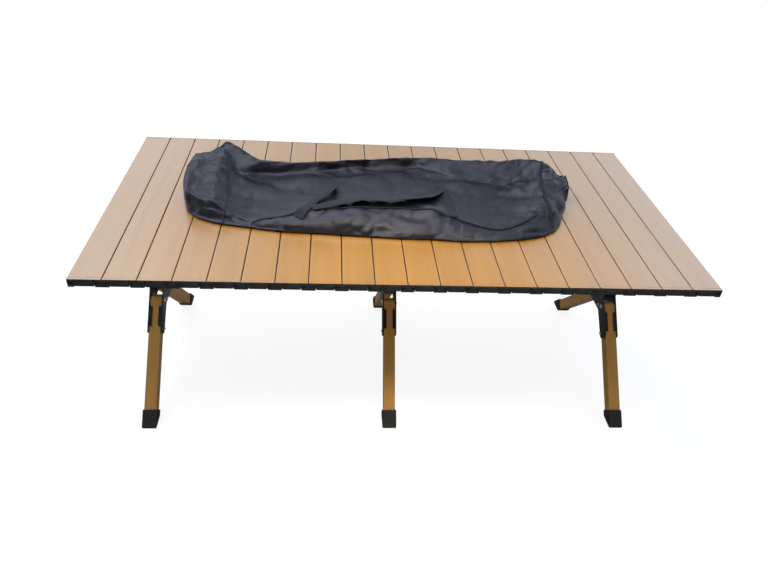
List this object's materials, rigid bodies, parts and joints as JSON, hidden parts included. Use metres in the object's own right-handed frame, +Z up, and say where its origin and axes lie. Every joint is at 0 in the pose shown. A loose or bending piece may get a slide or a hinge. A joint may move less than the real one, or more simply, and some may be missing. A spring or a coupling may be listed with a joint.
{
  "type": "folding roll-top camp table",
  "caption": "Low folding camp table with a wood-look slatted top that rolls up, X-shaped folding leg stations, folding rails and its black carry bag on top.",
  "frame": {"origin": "on the floor, under the middle of the slatted top", "axes": "+X to the right along the length, +Y to the rear, +Z up"},
  "size_m": [1.198, 0.612, 0.5243],
  "materials": {
    "slat_wood_look": "satin wood-grain film",
    "edge_plastic": "moulded black",
    "leg_wood_look": "satin wood-tone coat",
    "rail_metal": "satin black coat",
    "foot_rubber": "moulded black",
    "hub_steel": "black powder coat",
    "rivet_steel": "bright",
    "connector_plastic": "moulded black",
    "bag_fabric": "black woven polyester",
    "bag_webbing": "black woven webbing"
  },
  "bodies": {
    "hub_mid": {"hub_mid": "hub_steel", "rivets_mid": "rivet_steel"},
    "hub_left": {"hub_left": "hub_steel", "rivets_left": "rivet_steel"},
    "arm_front_left": {"arm_front_left": "leg_wood_look"},
    "leg_front_left": {"leg_front_left": "leg_wood_look", "foot_front_left": "foot_rubber"},
    "connector_front_left": {"connector_front_left": "connector_plastic"},
    "arm_rear_left": {"arm_rear_left": "leg_wood_look"},
    "leg_rear_left": {"leg_rear_left": "leg_wood_look", "foot_rear_left": "foot_rubber"},
    "connector_rear_left": {"connector_rear_left": "connector_plastic"},
    "arm_front_mid": {"arm_front_mid": "leg_wood_look"},
    "leg_front_mid": {"leg_front_mid": "leg_wood_look", "foot_front_mid": "foot_rubber"},
    "connector_front_mid": {"connector_front_mid": "connector_plastic"},
    "arm_rear_mid": {"arm_rear_mid": "leg_wood_look"},
    "leg_rear_mid": {"leg_rear_mid": "leg_wood_look", "foot_rear_mid": "foot_rubber"},
    "connector_rear_mid": {"connector_rear_mid": "connector_plastic"},
    "hub_right": {"hub_right": "hub_steel", "rivets_right": "rivet_steel"},
    "arm_front_right": {"arm_front_right": "leg_wood_look"},
    "leg_front_right": {"leg_front_right": "leg_wood_look", "foot_front_right": "foot_rubber"},
    "connector_front_right": {"connector_front_right": "connector_plastic"},
    "arm_rear_right": {"arm_rear_right": "leg_wood_look"},
    "leg_rear_right": {"leg_rear_right": "leg_wood_look", "foot_rear_right": "foot_rubber"},
    "connector_rear_right": {"connector_rear_right": "connector_plastic"},
    "rail_front_left_inner": {"rail_front_left_inner": "rail_metal"},
    "rail_front_left_outer": {"rail_front_left_outer": "rail_metal"},
    "rail_front_right_inner": {"rail_front_right_inner": "rail_metal"},
    "rail_front_right_outer": {"rail_front_right_outer": "rail_metal"},
    "rail_rear_left_inner": {"rail_rear_left_inner": "rail_metal"},
    "rail_rear_left_outer": {"rail_rear_left_outer": "rail_metal"},
    "rail_rear_right_inner": {"rail_rear_right_inner": "rail_metal"},
    "rail_rear_right_outer": {"rail_rear_right_outer": "rail_metal"},
    "slat_01": {"slat_01": "slat_wood_look"},
    "slat_02": {"slat_02": "slat_wood_look"},
    "slat_03": {"slat_03": "slat_wood_look"},
    "slat_04": {"slat_04": "slat_wood_look"},
    "slat_05": {"slat_05": "slat_wood_look"},
    "slat_06": {"slat_06": "slat_wood_look"},
    "slat_07": {"slat_07": "slat_wood_look"},
    "slat_08": {"slat_08": "slat_wood_look"},
    "slat_09": {"slat_09": "slat_wood_look"},
    "slat_10": {"slat_10": "slat_wood_look"},
    "slat_11": {"slat_11": "slat_wood_look"},
    "slat_12": {"slat_12": "slat_wood_look"},
    "slat_13": {"slat_13": "slat_wood_look"},
    "slat_14": {"slat_14": "slat_wood_look"},
    "slat_15": {"slat_15": "slat_wood_look"},
    "slat_16": {"slat_16": "slat_wood_look"},
    "slat_17": {"slat_17": "slat_wood_look"},
    "slat_18": {"slat_18": "slat_wood_look"},
    "slat_19": {"slat_19": "slat_wood_look"},
    "slat_20": {"slat_20": "slat_wood_look"},
    "carry_bag": {"carry_bag": "bag_fabric"}
  },
  "joints": [
    {"name": "leg_fold", "type": "hinge", "parent": "hub_mid", "child": "arm_front_mid", "pos_m": [0, -0.03041, 0.25841], "axis": [-1, 0, 0], "range_deg": [0, 45]},
    {"name": "arm_rear_mid_fold", "type": "hinge", "parent": "hub_mid", "child": "arm_rear_mid", "pos_m": [0, 0.03041, 0.25841], "axis": [1, 0, 0], "range_deg": [0, 45]},
    {"name": "leg_front_mid_fold", "type": "hinge", "parent": "hub_mid", "child": "leg_front_mid", "pos_m": [0, -0.03041, 0.19759], "axis": [1, 0, 0], "range_deg": [0, 45]},
    {"name": "leg_rear_mid_fold", "type": "hinge", "parent": "hub_mid", "child": "leg_rear_mid", "pos_m": [0, 0.03041, 0.19759], "axis": [-1, 0, 0], "range_deg": [0, 45]},
    {"name": "connector_front_mid_level", "type": "hinge", "parent": "arm_front_mid", "child": "connector_front_mid", "pos_m": [0, -0.182, 0.41], "axis": [1, 0, 0], "range_deg": [0, 45]},
    {"name": "connector_rear_mid_level", "type": "hinge", "parent": "arm_rear_mid", "child": "connector_rear_mid", "pos_m": [0, 0.182, 0.41], "axis": [-1, 0, 0], "range_deg": [0, 45]},
    {"name": "rail_fold", "type": "hinge", "parent": "connector_front_mid", "child": "rail_front_left_inner", "pos_m": [-0.03, -0.209, 0.4245], "axis": [0, -1, 0], "range_deg": [0, 88]},
    {"name": "rail_front_left_knee", "type": "hinge", "parent": "rail_front_left_inner", "child": "rail_front_left_outer", "pos_m": [-0.2675, -0.2193, 0.4245], "axis": [0, 1, 0], "range_deg": [0, 176]},
    {"name": "connector_front_left_level", "type": "hinge", "parent": "rail_front_left_outer", "child": "connector_front_left", "pos_m": [-0.505, -0.2296, 0.4245], "axis": [0, -1, 0], "range_deg": [0, 88]},
    {"name": "rail_front_right_inner_fold", "type": "hinge", "parent": "connector_front_mid", "child": "rail_front_right_inner", "pos_m": [0.03, -0.209, 0.4245], "axis": [0, 1, 0], "range_deg": [0, 88]},
    {"name": "rail_front_right_knee", "type": "hinge", "parent": "rail_front_right_inner", "child": "rail_front_right_outer", "pos_m": [0.2675, -0.2193, 0.4245], "axis": [0, -1, 0], "range_deg": [0, 176]},
    {"name": "connector_front_right_level", "type": "hinge", "parent": "rail_front_right_outer", "child": "connector_front_right", "pos_m": [0.505, -0.2296, 0.4245], "axis": [0, 1, 0], "range_deg": [0, 88]},
    {"name": "rail_rear_left_inner_fold", "type": "hinge", "parent": "connector_rear_mid", "child": "rail_rear_left_inner", "pos_m": [-0.03, 0.209, 0.4245], "axis": [0, -1, 0], "range_deg": [0, 88]},
    {"name": "rail_rear_left_knee", "type": "hinge", "parent": "rail_rear_left_inner", "child": "rail_rear_left_outer", "pos_m": [-0.2675, 0.2193, 0.4245], "axis": [0, 1, 0], "range_deg": [0, 176]},
    {"name": "rail_rear_right_inner_fold", "type": "hinge", "parent": "connector_rear_mid", "child": "rail_rear_right_inner", "pos_m": [0.03, 0.209, 0.4245], "axis": [0, 1, 0], "range_deg": [0, 88]},
    {"name": "rail_rear_right_knee", "type": "hinge", "parent": "rail_rear_right_inner", "child": "rail_rear_right_outer", "pos_m": [0.2675, 0.2193, 0.4245], "axis": [0, -1, 0], "range_deg": [0, 176]},
    {"name": "arm_front_left_fold", "type": "hinge", "parent": "connector_front_left", "child": "arm_front_left", "pos_m": [-0.535, -0.182, 0.41], "axis": [-1, 0, 0], "range_deg": [0, 45]},
    {"name": "hub_left_level", "type": "hinge", "parent": "arm_front_left", "child": "hub_left", "pos_m": [-0.535, -0.03041, 0.25841], "axis": [1, 0, 0], "range_deg": [0, 45]},
    {"name": "leg_front_left_fold", "type": "hinge", "parent": "hub_left", "child": "leg_front_left", "pos_m": [-0.535, -0.03041, 0.19759], "axis": [1, 0, 0], "range_deg": [0, 45]},
    {"name": "leg_rear_left_fold", "type": "hinge", "parent": "hub_left", "child": "leg_rear_left", "pos_m": [-0.535, 0.03041, 0.19759], "axis": [-1, 0, 0], "range_deg": [0, 45]},
    {"name": "arm_rear_left_fold", "type": "hinge", "parent": "hub_left", "child": "arm_rear_left", "pos_m": [-0.535, 0.03041, 0.25841], "axis": [1, 0, 0], "range_deg": [0, 45]},
    {"name": "connector_rear_left_level", "type": "hinge", "parent": "arm_rear_left", "child": "connector_rear_left", "pos_m": [-0.535, 0.182, 0.41], "axis": [-1, 0, 0], "range_deg": [0, 45]},
    {"name": "arm_front_right_fold", "type": "hinge", "parent": "connector_front_right", "child": "arm_front_right", "pos_m": [0.535, -0.182, 0.41], "axis": [-1, 0, 0], "range_deg": [0, 45]},
    {"name": "hub_right_level", "type": "hinge", "parent": "arm_front_right", "child": "hub_right", "pos_m": [0.535, -0.03041, 0.25841], "axis": [1, 0, 0], "range_deg": [0, 45]},
    {"name": "leg_front_right_fold", "type": "hinge", "parent": "hub_right", "child": "leg_front_right", "pos_m": [0.535, -0.03041, 0.19759], "axis": [1, 0, 0], "range_deg": [0, 45]},
    {"name": "leg_rear_right_fold", "type": "hinge", "parent": "hub_right", "child": "leg_rear_right", "pos_m": [0.535, 0.03041, 0.19759], "axis": [-1, 0, 0], "range_deg": [0, 45]},
    {"name": "arm_rear_right_fold", "type": "hinge", "parent": "hub_right", "child": "arm_rear_right", "pos_m": [0.535, 0.03041, 0.25841], "axis": [1, 0, 0], "range_deg": [0, 45]},
    {"name": "connector_rear_right_level", "type": "hinge", "parent": "arm_rear_right", "child": "connector_rear_right", "pos_m": [0.535, 0.182, 0.41], "axis": [-1, 0, 0], "range_deg": [0, 45]},
    {"name": "top_lift", "type": "slide", "parent": "connector_front_mid", "child": "slat_01", "axis": [0, 0, 1], "range_m": [0, 0.25]},
    {"name": "top_roll_rest", "type": "hinge", "parent": "slat_01", "child": "slat_02", "pos_m": [-0.54, 0, 0.449], "axis": [0, -1, 0], "range_deg": [0, 30.39], "deforming": ["carry_bag"]},
    {"name": "top_roll_02", "type": "hinge", "parent": "slat_02", "child": "slat_03", "pos_m": [-0.48, 0, 0.449], "axis": [0, -1, 0], "range_deg": [0, 31.3]},
    {"name": "top_roll_03", "type": "hinge", "parent": "slat_03", "child": "slat_04", "pos_m": [-0.42, 0, 0.449], "axis": [0, -1, 0], "range_deg": [0, 32.05]},
    {"name": "top_roll_04", "type": "hinge", "parent": "slat_04", "child": "slat_05", "pos_m": [-0.36, 0, 0.449], "axis": [0, -1, 0], "range_deg": [0, 32.87]},
    {"name": "top_roll_05", "type": "hinge", "parent": "slat_05", "child": "slat_06", "pos_m": [-0.3, 0, 0.449], "axis": [0, -1, 0], "range_deg": [0, 33.74]},
    {"name": "top_roll_06", "type": "hinge", "parent": "slat_06", "child": "slat_07", "pos_m": [-0.24, 0, 0.449], "axis": [0, -1, 0], "range_deg": [0, 34.7]},
    {"name": "top_roll", "type": "hinge", "parent": "slat_07", "child": "slat_08", "pos_m": [-0.18, 0, 0.449], "axis": [0, -1, 0], "range_deg": [0, 35.54], "deforming": ["carry_bag"]},
    {"name": "top_roll_08", "type": "hinge", "parent": "slat_08", "child": "slat_09", "pos_m": [-0.12, 0, 0.449], "axis": [0, -1, 0], "range_deg": [0, 36.88]},
    {"name": "top_roll_09", "type": "hinge", "parent": "slat_09", "child": "slat_10", "pos_m": [-0.06, 0, 0.449], "axis": [0, -1, 0], "range_deg": [0, 38.14]},
    {"name": "top_roll_10", "type": "hinge", "parent": "slat_10", "child": "slat_11", "pos_m": [0, 0, 0.449], "axis": [0, -1, 0], "range_deg": [0, 39.54]},
    {"name": "top_roll_11", "type": "hinge", "parent": "slat_11", "child": "slat_12", "pos_m": [0.06, 0, 0.449], "axis": [0, -1, 0], "range_deg": [0, 41.11]},
    {"name": "top_roll_12", "type": "hinge", "parent": "slat_12", "child": "slat_13", "pos_m": [0.12, 0, 0.449], "axis": [0, -1, 0], "range_deg": [0, 42.88]},
    {"name": "top_roll_13", "type": "hinge", "parent": "slat_13", "child": "slat_14", "pos_m": [0.18, 0, 0.449], "axis": [0, -1, 0], "range_deg": [0, 44.9]},
    {"name": "top_roll_14", "type": "hinge", "parent": "slat_14", "child": "slat_15", "pos_m": [0.24, 0, 0.449], "axis": [0, -1, 0], "range_deg": [0, 47.24]},
    {"name": "top_roll_15", "type": "hinge", "parent": "slat_15", "child": "slat_16", "pos_m": [0.3, 0, 0.449], "axis": [0, -1, 0], "range_deg": [0, 49.99]},
    {"name": "top_roll_16", "type": "hinge", "parent": "slat_16", "child": "slat_17", "pos_m": [0.36, 0, 0.449], "axis": [0, -1, 0], "range_deg": [0, 53.3]},
    {"name": "top_roll_17", "type": "hinge", "parent": "slat_17", "child": "slat_18", "pos_m": [0.42, 0, 0.449], "axis": [0, -1, 0], "range_deg": [0, 57.36]},
    {"name": "top_roll_18", "type": "hinge", "parent": "slat_18", "child": "slat_19", "pos_m": [0.48, 0, 0.449], "axis": [0, -1, 0], "range_deg": [0, 62.54]},
    {"name": "top_roll_19", "type": "hinge", "parent": "slat_19", "child": "slat_20", "pos_m": [0.54, 0, 0.449], "axis": [0, -1, 0], "range_deg": [0, 69.47]},
    {"name": "bag_lift", "type": "slide", "parent": "slat_01", "child": "carry_bag", "axis": [0, 0, 1], "range_m": [0, 0.35]}
  ],
  "couplings": [
    {"joint": "arm_rear_mid_fold", "follows": "leg_fold", "ratio": 1},
    {"joint": "leg_front_mid_fold", "follows": "leg_fold", "ratio": 1},
    {"joint": "leg_rear_mid_fold", "follows": "leg_fold", "ratio": 1},
    {"joint": "connector_front_mid_level", "follows": "leg_fold", "ratio": 1},
    {"joint": "connector_rear_mid_level", "follows": "leg_fold", "ratio": 1},
    {"joint": "rail_front_left_knee", "follows": "rail_fold", "ratio": 2},
    {"joint": "connector_front_left_level", "follows": "rail_fold", "ratio": 1},
    {"joint": "rail_front_right_inner_fold", "follows": "rail_fold", "ratio": 1},
    {"joint": "rail_front_right_knee", "follows": "rail_fold", "ratio": 2},
    {"joint": "connector_front_right_level", "follows": "rail_fold", "ratio": 1},
    {"joint": "rail_rear_left_inner_fold", "follows": "rail_fold", "ratio": 1},
    {"joint": "rail_rear_left_knee", "follows": "rail_fold", "ratio": 2},
    {"joint": "rail_rear_right_inner_fold", "follows": "rail_fold", "ratio": 1},
    {"joint": "rail_rear_right_knee", "follows": "rail_fold", "ratio": 2},
    {"joint": "arm_front_left_fold", "follows": "leg_fold", "ratio": 1},
    {"joint": "hub_left_level", "follows": "leg_fold", "ratio": 1},
    {"joint": "leg_front_left_fold", "follows": "leg_fold", "ratio": 1},
    {"joint": "leg_rear_left_fold", "follows": "leg_fold", "ratio": 1},
    {"joint": "arm_rear_left_fold", "follows": "leg_fold", "ratio": 1},
    {"joint": "connector_rear_left_level", "follows": "leg_fold", "ratio": 1},
    {"joint": "arm_front_right_fold", "follows": "leg_fold", "ratio": 1},
    {"joint": "hub_right_level", "follows": "leg_fold", "ratio": 1},
    {"joint": "leg_front_right_fold", "follows": "leg_fold", "ratio": 1},
    {"joint": "leg_rear_right_fold", "follows": "leg_fold", "ratio": 1},
    {"joint": "arm_rear_right_fold", "follows": "leg_fold", "ratio": 1},
    {"joint": "connector_rear_right_level", "follows": "leg_fold", "ratio": 1},
    {"joint": "top_roll_02", "follows": "top_roll_rest", "ratio": 1.0232},
    {"joint": "top_roll_03", "follows": "top_roll_rest", "ratio": 1.048},
    {"joint": "top_roll_04", "follows": "top_roll_rest", "ratio": 1.0748},
    {"joint": "top_roll_05", "follows": "top_roll_rest", "ratio": 1.1038},
    {"joint": "top_roll_06", "follows": "top_roll_rest", "ratio": 1.1352},
    {"joint": "top_roll_08", "follows": "top_roll", "ratio": 1.0321},
    {"joint": "top_roll_09", "follows": "top_roll", "ratio": 1.0676},
    {"joint": "top_roll_10", "follows": "top_roll", "ratio": 1.1069},
    {"joint": "top_roll_11", "follows": "top_roll", "ratio": 1.151},
    {"joint": "top_roll_12", "follows": "top_roll", "ratio": 1.2008},
    {"joint": "top_roll_13", "follows": "top_roll", "ratio": 1.2577},
    {"joint": "top_roll_14", "follows": "top_roll", "ratio": 1.3236},
    {"joint": "top_roll_15", "follows": "top_roll", "ratio": 1.401},
    {"joint": "top_roll_16", "follows": "top_roll", "ratio": 1.4939},
    {"joint": "top_roll_17", "follows": "top_roll", "ratio": 1.6084},
    {"joint": "top_roll_18", "follows": "top_roll", "ratio": 1.7541},
    {"joint": "top_roll_19", "follows": "top_roll", "ratio": 1.9489}
  ]
}
